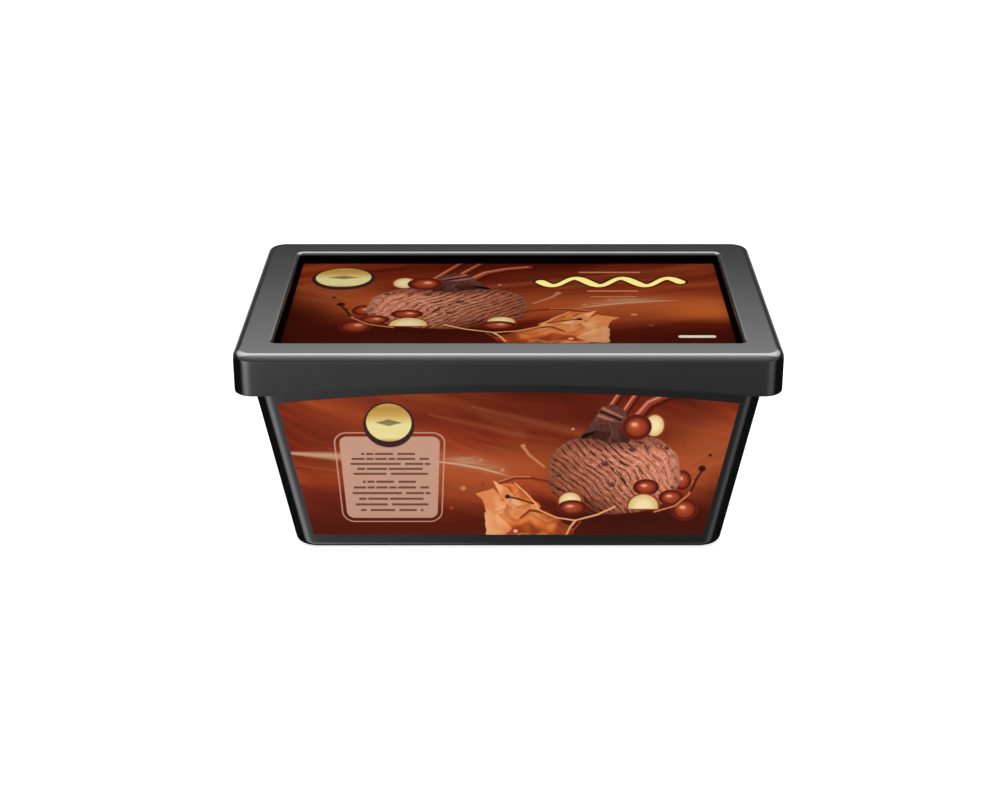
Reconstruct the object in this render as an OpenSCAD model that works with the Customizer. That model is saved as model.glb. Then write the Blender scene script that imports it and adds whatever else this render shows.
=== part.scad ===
// Rectangular tub, shut by a deep-skirted lid with a sunken panel.
// Printed labels lie flush in shallow pockets of the walls and the panel.
// The origin is at the centre of the base. X runs along the length, Z is up.

/* [Whole] */
// Height of the closed tub
total_height = 76; // [60:1:120]

/* [Lid] */
// Length of the lid
lid_length = 175; // [130:1:240]
// Width of the lid
lid_width = 113; // [85:1:170]
// Corner radius of the lid, seen from above
lid_corner_radius = 6.5; // [5:0.5:10]
// Rounding of the lid's upper outer edge
lid_edge_radius = 2.4; // [0.5:0.1:3]
// Wall thickness of the lid
lid_wall = 1.2; // [0.8:0.1:1.8]
// Height of the skirt at its corners
skirt_height = 14; // [11:0.5:20]
// Rise of the skirt's lower edge at the middle of each long side
arch_rise = 3.7; // [0.5:0.1:4]
// Straight stretch of the skirt's lower edge at each end of a long side
arch_margin = 10.5; // [7:0.5:30]
// Width of the flat rim round the sunken panel
rim_width = 12.2; // [9:0.1:18]
// Depth of the sunken panel below the rim
panel_depth = 3.8; // [2:0.1:5]
// Corner radius of the sunken panel
panel_corner_radius = 1.5; // [0.8:0.1:5]

/* [Tub] */
// Distance of the tub's wall inside the lid's edge, level with the skirt's lower edge
wall_inset = 5.5; // [4.5:0.1:7]
// Slope of the walls from upright, in degrees
wall_slope = 9.8; // [4:0.1:12]
// Corner radius of the tub's walls
wall_corner_radius = 6; // [4.5:0.5:10]
// Rounding between the walls and the base
base_edge_radius = 3.2; // [1:0.1:5]
// Width of the foot that runs round the base
foot_width = 4; // [2:0.5:8]
// Height of the hollow inside the foot
foot_height = 1; // [0.5:0.1:2]
// Height of the flange that carries the lid
flange_height = 4; // [2:0.5:6]
// Clearance between the flange and the lid's skirt
flange_clearance = 0.3; // [0.1:0.05:0.6]
// Clearance round and under the lid's sunken panel
panel_clearance = 0.3; // [0.1:0.05:0.6]

/* [Labels] */
// Thickness of a label
label_thickness = 0.4; // [0.2:0.05:0.6]
// Height of a label's face above the wall round it
label_proud = 0.05; // [0:0.05:0.1]
// Clearance between a label's edge and its pocket
label_clearance = 0.05; // [0.05:0.05:0.2]
// Distance from a wall label's side edges to the wall's outline
side_margin = 7; // [6:0.5:12]
// Distance up the wall from the base to a wall label's lower edge
bottom_margin = 5.6; // [5:0.1:12]
// Distance below the skirt's lower edge to a wall label's upper corners
top_margin = 4.8; // [1:0.1:12]
// Rise of the upper edge of the labels on the long sides
label_arch_rise = 4.2; // [0.5:0.1:4.5]
// Width of the bare strip round the lid's label
panel_margin = 1.3; // [0.5:0.1:6]

/* [Hidden] */

corner_steps = 8;    // facets in a corner of the tub
edge_steps = 5;      // facets in the base's rounding
arc_facets = 360;    // facets in a full turn of the long, flat arches
corner_facets = 64;  // facets in a full turn of a corner
overshoot = 1;       // how far a cutter runs past what it cuts

skirt_z = total_height - skirt_height;         // the skirt's lower edge at the corners
ring_z = total_height - lid_wall;              // underside of the lid's rim
panel_z = total_height - panel_depth;          // top of the sunken panel
panel_length = lid_length - 2 * rim_width;
panel_width = lid_width - 2 * rim_width;

base_inset = wall_inset + skirt_z * tan(wall_slope);  // the wall's inset, carried down to the base
base_length = lid_length - 2 * base_inset;
base_width = lid_width - 2 * base_inset;

plastic = [0.07, 0.07, 0.075];
print_brown = [0.52, 0.21, 0.11];

// ---- Outlines ----

// Rectangle with round corners, centred
module rounded_rectangle(length, width, radius) {
    square([length - 2 * radius, width], center = true);
    square([length, width - 2 * radius], center = true);
    for (x = [-1, 1], y = [-1, 1])
        translate([x * (length / 2 - radius), y * (width / 2 - radius)])
            circle(radius, $fn = corner_facets);
}

// Half of an upright section whose outer upper corner is rounded
module rounded_edge_section(half, height, radius) {
    square([half, height - radius]);
    square([half - radius, height]);
    translate([half - radius, height - radius]) circle(radius, $fn = corner_facets);
}

// The same section on both sides of the middle, drawn out along Y
module rounded_edge_bar(width, height, radius, length) {
    rotate([90, 0, 0])
        linear_extrude(length, center = true)
            for (side = [0, 1])
                mirror([side, 0]) rounded_edge_section(width / 2, height, radius);
}

// Block with round corners and a rounded upper edge, standing on Z = 0
module rounded_block(length, width, height, radius, edge) {
    rounded_edge_bar(length, height, edge, width - 2 * radius);
    rotate([0, 0, 90]) rounded_edge_bar(width, height, edge, length - 2 * radius);
    for (x = [-1, 1], y = [-1, 1])
        translate([x * (length / 2 - radius), y * (width / 2 - radius), 0])
            rotate_extrude($fn = corner_facets)
                rounded_edge_section(radius, height, edge);
}

// ---- Tub ----

// One ring of points: the lid's outline drawn in by an inset, at a height
function ring(z, inset, radius) = [
    for (corner = [0:3], step = [0:corner_steps])
        let (
            angle = 90 * corner + 90 * step / corner_steps,
            x_side = corner == 0 || corner == 3 ? 1 : -1,
            y_side = corner < 2 ? 1 : -1
        )
        [
            x_side * (lid_length / 2 - inset - radius) + radius * cos(angle),
            y_side * (lid_width / 2 - inset - radius) + radius * sin(angle),
            z
        ]
];

// The wall's inset at a height
function wall_at(z) = wall_inset + (skirt_z - z) * tan(wall_slope);

// Rounding from the foot into the wall, which meets the slope without a kink
function base_rounding() =
    let (
        turn = 90 - wall_slope,
        centre_z = base_edge_radius,
        centre_inset = wall_at(centre_z) + base_edge_radius / cos(wall_slope)
    )
    [
        for (step = [0:edge_steps])
            let (angle = turn * step / edge_steps)
            [
                centre_z - base_edge_radius * cos(angle),
                centre_inset - base_edge_radius * sin(angle),
                wall_corner_radius
            ]
    ];

rounding = base_rounding();
foot_inset = rounding[0][1] + foot_width;
flange_inset = lid_wall + flange_clearance;
pocket_inset = rim_width - lid_wall - panel_clearance;
pocket_z = panel_z - lid_wall - panel_clearance;

// The tub's section, from the hollow under its foot round to the floor of the lid's pocket
function tub_section() = concat(
    [
        [foot_height, foot_inset + foot_height, wall_corner_radius],
        [0, foot_inset, wall_corner_radius]
    ],
    rounding,
    [
        [ring_z - flange_height, wall_at(ring_z - flange_height), wall_corner_radius],
        [ring_z - flange_height, flange_inset, lid_corner_radius - flange_inset],
        [ring_z, flange_inset, lid_corner_radius - flange_inset],
        [ring_z, pocket_inset, panel_corner_radius],
        [pocket_z, pocket_inset, panel_corner_radius]
    ]
);

// Closed solid through a list of rings, each [height, inset, corner radius]
module loft(section) {
    count = 4 * (corner_steps + 1);
    last = len(section) - 1;
    points = [for (row = section) each ring(row[0], row[1], row[2])];
    sides = [
        for (level = [0:last - 1], at = [0:count - 1])
            let (
                next = (at + 1) % count,
                low = level * count,
                high = low + count
            )
            [low + at, high + at, high + next, low + next]
    ];
    bottom = [for (at = [0:count - 1]) at];
    top = [for (at = [count - 1:-1:0]) last * count + at];
    polyhedron(points, concat([bottom], sides, [top]), convexity = 6);
}

module tub() {
    color(plastic)
        difference() {
            loft(tub_section());
            long_side_label(label_clearance);
            rotate([0, 0, 180]) long_side_label(label_clearance);
            short_side_label(label_clearance);
            rotate([0, 0, 180]) short_side_label(label_clearance);
        }
}

// ---- Lid ----

// Radius of an arc from its rise and the half of its chord
function arc_radius(rise, half) = (half * half + rise * rise) / (2 * rise);

module lid() {
    half = lid_length / 2 - arch_margin;
    radius = arc_radius(arch_rise, half);
    inner_radius = lid_corner_radius - lid_wall;
    color(plastic)
        difference() {
            translate([0, 0, skirt_z])
                rounded_block(lid_length, lid_width, skirt_height, lid_corner_radius, lid_edge_radius);
            // The sunken panel
            translate([0, 0, panel_z])
                linear_extrude(panel_depth + overshoot)
                    rounded_rectangle(panel_length, panel_width, panel_corner_radius);
            // The space inside the skirt, round the panel
            difference() {
                translate([0, 0, skirt_z - overshoot])
                    linear_extrude(ring_z - skirt_z + overshoot)
                        rounded_rectangle(lid_length - 2 * lid_wall, lid_width - 2 * lid_wall, inner_radius);
                translate([0, 0, panel_z - lid_wall])
                    linear_extrude(panel_depth + lid_wall)
                        rounded_rectangle(panel_length + 2 * lid_wall, panel_width + 2 * lid_wall,
                            panel_corner_radius + lid_wall);
            }
            // The arches in the skirt's long sides
            translate([0, 0, skirt_z + arch_rise - radius])
                rotate([90, 0, 0])
                    cylinder(h = lid_width + 2 * overshoot, r = radius, center = true, $fn = arc_facets);
            lid_label(label_clearance);
        }
}

// ---- Labels ----
// Each takes the clearance of its pocket, which is 0 for the label itself.

module lid_label(clearance) {
    margin = panel_margin - clearance;
    top = clearance > 0 ? overshoot : label_proud;
    translate([0, 0, panel_z - label_thickness + label_proud])
        linear_extrude(label_thickness - label_proud + top)
            square([panel_length - 2 * margin, panel_width - 2 * margin], center = true);
}

// Outline on a sloping wall of a given length at the base: its sides keep to the wall's own slope,
// and its upper edge follows the skirt above, arched or straight
module wall_outline(length, rise, clearance) {
    margin = side_margin - clearance;
    low = bottom_margin - clearance;
    corner = (skirt_z - top_margin) / cos(wall_slope) + clearance;
    high = corner + rise;
    lean = sin(wall_slope);
    near = length / 2 - margin + low * lean;
    far = length / 2 - margin + high * lean;
    reach = length / 2 - margin + corner * lean;
    intersection() {
        polygon([[-near, low], [near, low], [far, high], [-far, high]]);
        if (rise > 0)
            translate([0, high - arc_radius(rise, reach)])
                circle(arc_radius(rise, reach), $fn = arc_facets);
    }
}

// Plate in the plane of the wall that faces -Y, for a base of the given size
module wall_plate(length, depth, rise, clearance) {
    top = clearance > 0 ? overshoot : label_proud;
    translate([0, -depth / 2, 0])
        rotate([90 + wall_slope, 0, 0])
            translate([0, 0, label_proud - label_thickness])
                linear_extrude(label_thickness - label_proud + top)
                    wall_outline(length, rise, clearance);
}

module long_side_label(clearance) {
    wall_plate(base_length, base_width, label_arch_rise, clearance);
}

module short_side_label(clearance) {
    rotate([0, 0, 90]) wall_plate(base_width, base_length, 0, clearance);
}

module label_lid() {
    color(print_brown) lid_label(0);
}

module label_front() {
    color(print_brown) long_side_label(0);
}

module label_back() {
    color(print_brown) rotate([0, 0, 180]) long_side_label(0);
}

module label_right() {
    color(print_brown) short_side_label(0);
}

module label_left() {
    color(print_brown) rotate([0, 0, 180]) short_side_label(0);
}

tub();
lid();
label_lid();
label_front();
label_back();
label_left();
label_right();
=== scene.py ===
import math

import bmesh
import bpy
from mathutils import Matrix, Vector


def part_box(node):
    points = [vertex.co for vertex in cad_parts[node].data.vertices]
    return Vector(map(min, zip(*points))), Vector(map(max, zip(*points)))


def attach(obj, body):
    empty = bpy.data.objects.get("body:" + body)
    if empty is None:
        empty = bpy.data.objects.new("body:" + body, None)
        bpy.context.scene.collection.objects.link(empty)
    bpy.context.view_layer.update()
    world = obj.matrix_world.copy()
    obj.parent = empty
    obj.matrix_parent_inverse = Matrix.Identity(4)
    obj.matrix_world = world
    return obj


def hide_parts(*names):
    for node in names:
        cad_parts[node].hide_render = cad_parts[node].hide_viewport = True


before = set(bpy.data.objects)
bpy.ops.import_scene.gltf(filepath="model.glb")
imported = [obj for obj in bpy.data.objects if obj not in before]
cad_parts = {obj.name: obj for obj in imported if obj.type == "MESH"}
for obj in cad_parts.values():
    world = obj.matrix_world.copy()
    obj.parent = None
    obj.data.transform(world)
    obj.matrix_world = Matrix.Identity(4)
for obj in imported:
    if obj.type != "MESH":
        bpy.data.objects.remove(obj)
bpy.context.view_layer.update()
lidLow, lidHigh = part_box("lid")
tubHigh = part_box("tub")[1]
panelLow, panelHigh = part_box("label_lid")
mm = 0.001
print("frame: the lid is", [round(v, 4) for v in lidHigh - lidLow])


# ---- small helpers for node trees ----

class Wire:  # one socket, used in sums like a number
    def __init__(self, graph, socket):
        self.graph = graph
        self.socket = socket


def sumMethod(operation, swapped):
    def method(self, other):
        pair = (other, self) if swapped else (self, other)
        return self.graph.maths(operation, *pair)
    return method


for sign, operation in {"add": "ADD", "sub": "SUBTRACT", "mul": "MULTIPLY", "truediv": "DIVIDE"}.items():
    setattr(Wire, f"__{sign}__", sumMethod(operation, False))
    setattr(Wire, f"__r{sign}__", sumMethod(operation, True))


class Graph:  # adds nodes to one tree, of a material, the world or Geometry Nodes
    def __init__(self, tree):
        self.tree = tree
        tree.nodes.clear()

    def add(self, kind, settings=None, sockets=None):
        node = self.tree.nodes.new(kind)
        for name, value in (settings or {}).items():
            if name == "stops":
                self.setStops(node.color_ramp, value)
            else:
                setattr(node, name, value)
        for name, value in (sockets or {}).items():
            if isinstance(value, Wire):
                self.tree.links.new(value.socket, node.inputs[name])
            else:
                node.inputs[name].default_value = value
        return node

    def setStops(self, ramp, stops):
        while len(ramp.elements) < len(stops):
            ramp.elements.new(1.0)
        for element, (place, colour) in zip(ramp.elements, stops):
            element.position = place
            element.color = colour

    def wire(self, kind, settings=None, sockets=None, out=0):
        return Wire(self, self.add(kind, settings, sockets).outputs[out])

    def maths(self, operation, *values, clamp=False):
        settings = {"operation": operation, "use_clamp": clamp}
        return self.wire("ShaderNodeMath", settings, dict(enumerate(values)))

    def scaled(self, value, factor, plus=0.0, clamp=False):  # value * factor + plus in one node
        return self.maths("MULTIPLY_ADD", value, factor, plus, clamp=clamp)

    def ramp(self, value, low, high, to=1.0):  # smooth from 0 at low to its full height at high
        sockets = {"Value": value, "From Min": low, "From Max": high, "To Max": to}
        return self.wire("ShaderNodeMapRange", {"interpolation_type": "SMOOTHSTEP"}, sockets)

    def both(self, first, second):
        return self.maths("MULTIPLY", first, second)

    def blend(self, mask, under, over):  # a colour laid over another through a mask
        return self.wire("ShaderNodeMix", {"data_type": "RGBA"}, {0: mask, 6: under, 7: over}, out=2)

    def stepped(self, value, stops):  # a colour that follows a value through the stops
        return self.wire("ShaderNodeValToRGB", {"stops": stops}, {0: value})

    def vector(self, x, y, z=0.0):
        return self.wire("ShaderNodeCombineXYZ", None, {0: x, 1: y, 2: z})

    def noise(self, vector, scale, detail=2.0, rough=0.5, distortion=0.0):
        return self.wire("ShaderNodeTexNoise", None, {
            "Vector": vector, "Scale": scale, "Detail": detail, "Roughness": rough, "Distortion": distortion,
        })

    def bump(self, height, look):
        sockets = {"Strength": look["grainStrength"], "Distance": look["grainDepth"], "Height": height}
        return self.wire("ShaderNodeBump", None, sockets)


def ink(code):  # a colour given as six hex digits, as linear light
    parts = [int(code[i:i + 2], 16) / 255 for i in (0, 2, 4)]
    linear = [p / 12.92 if p <= 0.04045 else ((p + 0.055) / 1.055) ** 2.4 for p in parts]
    return (*linear, 1.0)


def newObject(name, data):
    made = bpy.data.objects.new(name, data)
    bpy.context.scene.collection.objects.link(made)
    return made


def newMaterial(name):
    made = bpy.data.materials.new(name)
    made.use_nodes = True
    return made, Graph(made.node_tree)


def finishMaterial(graph, shader, normal=None):
    bsdf = graph.add("ShaderNodeBsdfPrincipled", None, shader)
    if normal is not None:
        graph.tree.links.new(normal.socket, bsdf.inputs["Normal"])
    end = graph.add("ShaderNodeOutputMaterial")
    graph.tree.links.new(bsdf.outputs[0], end.inputs["Surface"])


# ---- the black plastic of the tub and the lid ----

plasticLook = dict(
    colour="0b0b0c", colourLight="111112",
    roughness=0.1, roughnessSwing=0.03,
    cloudSize=35.0,      # mottling left by the mould's flow, per metre
    grainSize=2600.0,    # fine moulded grain, per metre
    grainDepth=0.002 * mm, grainStrength=0.5,
    specular=0.5,
)


def blackPlastic(name, look):
    made, g = newMaterial(name)
    place = g.wire("ShaderNodeTexCoord", None, None, out="Object")
    cloud = g.noise(place, look["cloudSize"], 3.0)
    grain = g.noise(place, look["grainSize"], 2.0)
    bump = g.bump(grain, look)
    finishMaterial(g, {
        "Base Color": g.blend(cloud, ink(look["colour"]), ink(look["colourLight"])),
        "Roughness": g.scaled(cloud, look["roughnessSwing"], look["roughness"] - look["roughnessSwing"] / 2),
        "Specular IOR Level": look["specular"],
    }, bump)
    return made


# ---- lofted shells: rings of a rounded rectangle, one for each point of a section ----

weldDistance = 0.002 * mm  # points nearer than this become one

def loftTree():
    tree = bpy.data.node_groups.new("roundedLoft", "GeometryNodeTree")
    inputs = {
        "Section": "NodeSocketGeometry", "Half Length": "NodeSocketFloat", "Half Width": "NodeSocketFloat",
        "Corner Steps": "NodeSocketInt", "Side Steps": "NodeSocketInt", "Arch Radius": "NodeSocketFloat",
        "Arch Rise": "NodeSocketFloat", "Sharp Angle": "NodeSocketFloat", "Material": "NodeSocketMaterial",
    }
    for name, kind in inputs.items():
        tree.interface.new_socket(name, in_out="INPUT", socket_type=kind)
    tree.interface.new_socket("Geometry", in_out="OUTPUT", socket_type="NodeSocketGeometry")
    g = Graph(tree)
    given = g.add("NodeGroupInput")
    take = {name: Wire(g, given.outputs[name]) for name in inputs}

    rows = g.wire("GeometryNodeAttributeDomainSize", {"component": "MESH"}, {0: take["Section"]})
    perCorner = take["Corner Steps"] + take["Side Steps"]
    columns = perCorner * 4 + 1
    grid = g.wire("GeometryNodeMeshGrid", None, {"Vertices X": columns, "Vertices Y": rows})

    index = g.wire("GeometryNodeInputIndex")
    column = g.maths("FLOOR", (index + 0.5) / rows)
    row = index - column * rows

    def fromSection(kind, field):  # reads a value of the section's point for this row
        settings = {"data_type": kind, "domain": "POINT"}
        sockets = {"Geometry": take["Section"], 1: field, "Index": row}
        return g.wire("GeometryNodeSampleIndex", settings, sockets)

    def attribute(name):
        return g.wire("GeometryNodeInputNamedAttribute", {"data_type": "FLOAT"}, {"Name": name})

    position = fromSection("FLOAT_VECTOR", g.wire("GeometryNodeInputPosition"))
    point = g.add("ShaderNodeSeparateXYZ", None, {0: position})
    inset, radius, height = (Wire(g, socket) for socket in point.outputs)
    spread = fromSection("FLOAT", attribute("spread"))
    arch = fromSection("FLOAT", attribute("arch"))

    corner = g.maths("FLOOR", (column + 0.5) / perCorner)
    step = column - corner * perCorner
    turn = g.maths("MINIMUM", step / take["Corner Steps"], 1.0)
    along = g.maths("MAXIMUM", (step - take["Corner Steps"]) / take["Side Steps"], 0.0)
    quarter = math.pi / 2

    def onOutline(wave, half, cornerAt, angle):  # one coordinate of a point on the rounded corner
        side = g.maths("SIGN", g.maths(wave, (cornerAt + 0.5) * quarter))
        return side * (half - inset - radius) + radius * g.maths(wave, angle * quarter)

    def coordinate(wave, half):
        here = onOutline(wave, half, corner, corner + turn)
        following = onOutline(wave, half, corner + 1, corner + 1)
        return (here + (following - here) * along) * spread

    x = coordinate("COSINE", take["Half Length"])
    y = coordinate("SINE", take["Half Width"])
    chord = g.maths("MAXIMUM", take["Arch Radius"] * take["Arch Radius"] - x * x, 0.0)
    lift = g.maths("SQRT", chord) - take["Arch Radius"] + take["Arch Rise"]
    z = height + arch * g.maths("MAXIMUM", lift, 0.0)

    moved = g.wire("GeometryNodeSetPosition", None, {"Geometry": grid, "Position": g.vector(x, y, z)})
    welded = g.wire("GeometryNodeMergeByDistance", None, {"Geometry": moved, "Distance": weldDistance})
    smooth = g.wire("GeometryNodeSetShadeSmooth", {"domain": "FACE"}, {"Geometry": welded})
    edgeAngle = g.wire("GeometryNodeInputMeshEdgeAngle")
    soft = g.wire("FunctionNodeCompare", {"data_type": "FLOAT", "operation": "LESS_THAN"},
                  {0: edgeAngle, 1: take["Sharp Angle"]})
    edged = g.wire("GeometryNodeSetShadeSmooth", {"domain": "EDGE"},
                   {"Geometry": smooth, "Shade Smooth": soft})
    real = g.wire("GeometryNodeRealizeInstances", None, {0: edged})
    dressed = g.wire("GeometryNodeSetMaterial", None, {"Geometry": real, "Material": take["Material"]})
    g.add("NodeGroupOutput", None, {0: dressed})
    return tree


def loftPiece(name, tree, section, settings):
    mesh = bpy.data.meshes.new(name)
    points = [(row["inset"], row["radius"], row["height"]) for row in section]
    mesh.from_pydata(points, [(i, i + 1) for i in range(len(points) - 1)], [])
    for key in ("spread", "arch"):
        layer = mesh.attributes.new(key, "FLOAT", "POINT")
        layer.data.foreach_set("value", [row[key] for row in section])
    piece = newObject(name, mesh)
    modifier = piece.modifiers.new("loft", "NODES")
    modifier.node_group = tree
    for item in tree.interface.items_tree:
        if item.in_out == "INPUT" and item.name in settings:
            modifier[item.identifier] = settings[item.name]
    shaped = piece.evaluated_get(bpy.context.evaluated_depsgraph_get())
    finished = bpy.data.meshes.new_from_object(shaped)
    piece.modifiers.clear()
    piece.data = finished
    finished.name = name
    return piece


def at(inset, height, radius, arch=0.0, spread=1.0):
    return dict(inset=inset, height=height, radius=radius, arch=arch, spread=spread)


def bend(centre, size, start, end, steps, radius, arch=0.0):
    # rows round an arc: centre is (inset, height), angles are degrees up from straight outwards
    rows = []
    for i in range(steps + 1):
        angle = math.radians(start + (end - start) * i / steps)
        inset = centre[0] - size * math.cos(angle)
        rows.append(at(inset, centre[1] + size * math.sin(angle), radius(inset), arch))
    return rows


# ---- sizes shared by the pieces, in metres ----

shell = dict(
    lidWall=1.2 * mm, edgeRadius=2.4 * mm, cornerRadius=6.5 * mm,
    rimWidth=12.2 * mm, panelDepth=3.8 * mm, panelCorner=1.5 * mm,
    rimEdge=1.1 * mm,    # rounding where the rim drops to the panel
    wellEdge=0.5 * mm,   # rounding round the panel's floor
    skirtEdge=0.4 * mm,  # rounding of the skirt's lower edge
    leastCorner=0.3 * mm,
    archRise=3.7 * mm, archMargin=10.5 * mm,
    wallInset=5.5 * mm, wallSlope=math.radians(9.8), wallCorner=6.0 * mm,
    baseEdge=3.2 * mm, footWidth=4.0 * mm, footHeight=1.0 * mm, footEdge=0.4 * mm,
    flangeHeight=4.0 * mm, flangeClear=0.3 * mm, panelClear=0.3 * mm,
    cornerSteps=12, sideSteps=36, bendSteps=6, sharpAngle=math.radians(40),
    support=0.25 * mm,   # how near a flat face's own row lies to a rounding
)
halfLength = lidHigh.x
halfWidth = lidHigh.y
lidTop = lidHigh.z
skirtZ = lidLow.z
ringZ = tubHigh.z
panelZ = lidTop - shell["panelDepth"]
slopeTan = math.tan(shell["wallSlope"])


def wallAt(height):  # the tub wall's inset from the lid's edge
    return shell["wallInset"] + (skirtZ - height) * slopeTan


def lidSection():
    s = shell
    wall, near = s["lidWall"], s["support"]
    inner = s["rimWidth"] - wall
    def outline(inset):
        return max(s["cornerRadius"] - inset, s["leastCorner"])
    def wellInside(inset):
        return s["panelCorner"] + max(s["rimWidth"] - inset, 0.0)
    wellOutside = s["panelCorner"] + wall
    underside = [
        at(0.0, panelZ - wall, s["panelCorner"], spread=0.0),
        at(inner + near, panelZ - wall, wellOutside),
        at(inner, panelZ - wall, wellOutside),
        at(inner, ringZ, wellOutside),
        at(wall, ringZ, outline(wall)),
        at(wall, skirtZ + s["skirtEdge"] + near, outline(wall), arch=1.0),
    ]
    middle = wall / 2
    lower = []
    for i in range(s["bendSteps"] * 2 + 1):  # the skirt's lower edge is a half round, flattened in height
        angle = math.pi * i / (s["bendSteps"] * 2)
        inset = middle + middle * math.cos(angle)
        lower.append(at(inset, skirtZ + s["skirtEdge"] * (1 - math.sin(angle)), outline(inset), arch=1.0))
    edge = s["edgeRadius"]
    outside = [at(0.0, skirtZ + s["skirtEdge"] + near, outline(0.0), arch=1.0)]
    outside += [at(0.0, lidTop - edge - near, outline(0.0))]
    outside += bend((edge, lidTop - edge), edge, 0, 90, s["bendSteps"], outline)
    outside += [at(edge + near, lidTop, outline(edge + near))]
    drop, well = s["rimEdge"], s["wellEdge"]
    rim = s["rimWidth"]
    inward = [at(rim - drop - near, lidTop, wellInside(rim - drop - near))]
    for i in range(s["bendSteps"] + 1):
        angle = math.pi / 2 * i / s["bendSteps"]
        inset = rim - drop + drop * math.sin(angle)
        inward.append(at(inset, lidTop - drop + drop * math.cos(angle), wellInside(inset)))
    inward += [
        at(rim, lidTop - drop - near, s["panelCorner"]),
        at(rim, panelZ + well, s["panelCorner"]),
        at(rim + well * 0.3, panelZ + well * 0.3, s["panelCorner"]),
        at(rim + well, panelZ, s["panelCorner"]),
        at(rim + well + near, panelZ, s["panelCorner"]),
        at(0.0, panelZ, s["panelCorner"], spread=0.0),
    ]
    return underside + lower + outside + inward


def tubSection():
    s = shell
    corner, near = s["wallCorner"], s["support"]
    def constant(inset):
        return corner
    slopeDegrees = math.degrees(s["wallSlope"])
    centreInset = wallAt(s["baseEdge"]) + s["baseEdge"] / math.cos(s["wallSlope"])
    footInset = centreInset + s["footWidth"]
    flange = s["lidWall"] + s["flangeClear"]
    pocket = s["rimWidth"] - s["lidWall"] - s["panelClear"]
    pocketZ = panelZ - s["lidWall"] - s["panelClear"]
    lowFlange = ringZ - s["flangeHeight"]
    foot = s["footEdge"]
    rows = [
        at(0.0, s["footHeight"], corner, spread=0.0),
        at(footInset + s["footHeight"] + near, s["footHeight"], corner),
        at(footInset + s["footHeight"], s["footHeight"], corner),
    ]
    rows += [
        at(footInset + 0.3 * foot, foot * 0.6, corner),
        at(footInset, 0.0, corner),
        at(footInset - near, 0.0, corner),
        at(centreInset + near, 0.0, corner),
    ]
    base = s["baseEdge"]
    rows += bend((centreInset, base), base, -90, -slopeDegrees, s["bendSteps"] + 3, constant)
    rows += [at(wallAt(base + near * 2), base + near * 2, corner)]
    rows += [at(wallAt(h), h, corner) for h in (skirtZ - near, lowFlange - near, lowFlange)]
    rim = s["cornerRadius"] - flange
    rows += [
        at(flange + near, lowFlange, rim), at(flange, lowFlange + near, rim),
        at(flange, ringZ - near, rim), at(flange + near, ringZ, rim),
        at(pocket - near, ringZ, s["panelCorner"]), at(pocket, ringZ, s["panelCorner"]),
        at(pocket, pocketZ, s["panelCorner"]), at(pocket + near, pocketZ, s["panelCorner"]),
        at(0.0, pocketZ, s["panelCorner"], spread=0.0),
    ]
    return rows


def arcRadius(rise, half):
    return (half * half + rise * rise) / (2 * rise)


shellTree = loftTree()
archHalf = halfLength - shell["archMargin"]
common = {
    "Half Length": halfLength, "Half Width": halfWidth, "Corner Steps": shell["cornerSteps"],
    "Side Steps": shell["sideSteps"], "Arch Radius": arcRadius(shell["archRise"], archHalf),
    "Arch Rise": shell["archRise"], "Sharp Angle": shell["sharpAngle"],
}
# a darker, matt copy of the black plastic for the sunk panel and its walls: painted shade of the recess
recessShadeLook = {**plasticLook, "colour": "060403", "colourLight": "0a0706", "roughness": 0.5, "specular": 0.0}
black = blackPlastic("blackPlastic", plasticLook)
tub = loftPiece("tubShell", shellTree, tubSection(), {**common, "Material": black})
lid = loftPiece("lidShell", shellTree, lidSection(), {**common, "Material": black})
lid.data.materials.append(blackPlastic("recessShadedPlastic", recessShadeLook))
shadedRecessSlot = len(lid.data.materials) - 1
slack = 0.1 * mm
beside = shell["rimWidth"] - slack
for face in lid.data.polygons:  # the sunk panel and the walls round it are matt and darker: painted shade of the recess
    x, y, z = face.center
    sunk = panelZ - slack < z < lidTop - shell["rimEdge"]
    if sunk and abs(x) < halfLength - beside and abs(y) < halfWidth - beside:
        face.material_index = shadedRecessSlot
print("shells:", len(tub.data.polygons), "and", len(lid.data.polygons), "faces")


# ---- the labels' plates ----

labelSheet = dict(
    proud=0.05 * mm, depth=0.05 * mm, columns=56, rows=4,
    sideMargin=7.0 * mm, bottomMargin=5.6 * mm, topMargin=4.8 * mm, archRise=4.2 * mm,
    edgeStrip=0.02,      # share of the print's map that the plate's back and edges take
)
baseInset = wallAt(0.0)
lean = math.sin(shell["wallSlope"])
lowEdge = labelSheet["bottomMargin"]
cornerUp = (skirtZ - labelSheet["topMargin"]) / math.cos(shell["wallSlope"])


def wallPlace(depth, turn):
    # from across, up the wall and off the wall, to a place on the wall that faces -Y before the turn
    spin = Matrix.Rotation(turn, 3, "Z")
    cos = math.cos(shell["wallSlope"])
    def place(across, up, off):
        return spin @ Vector((across, -depth - up * lean - off * cos, up * cos - off * lean))
    return place


def panelPlace(across, up, off):
    return Vector((across, up, panelZ + off))


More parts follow.
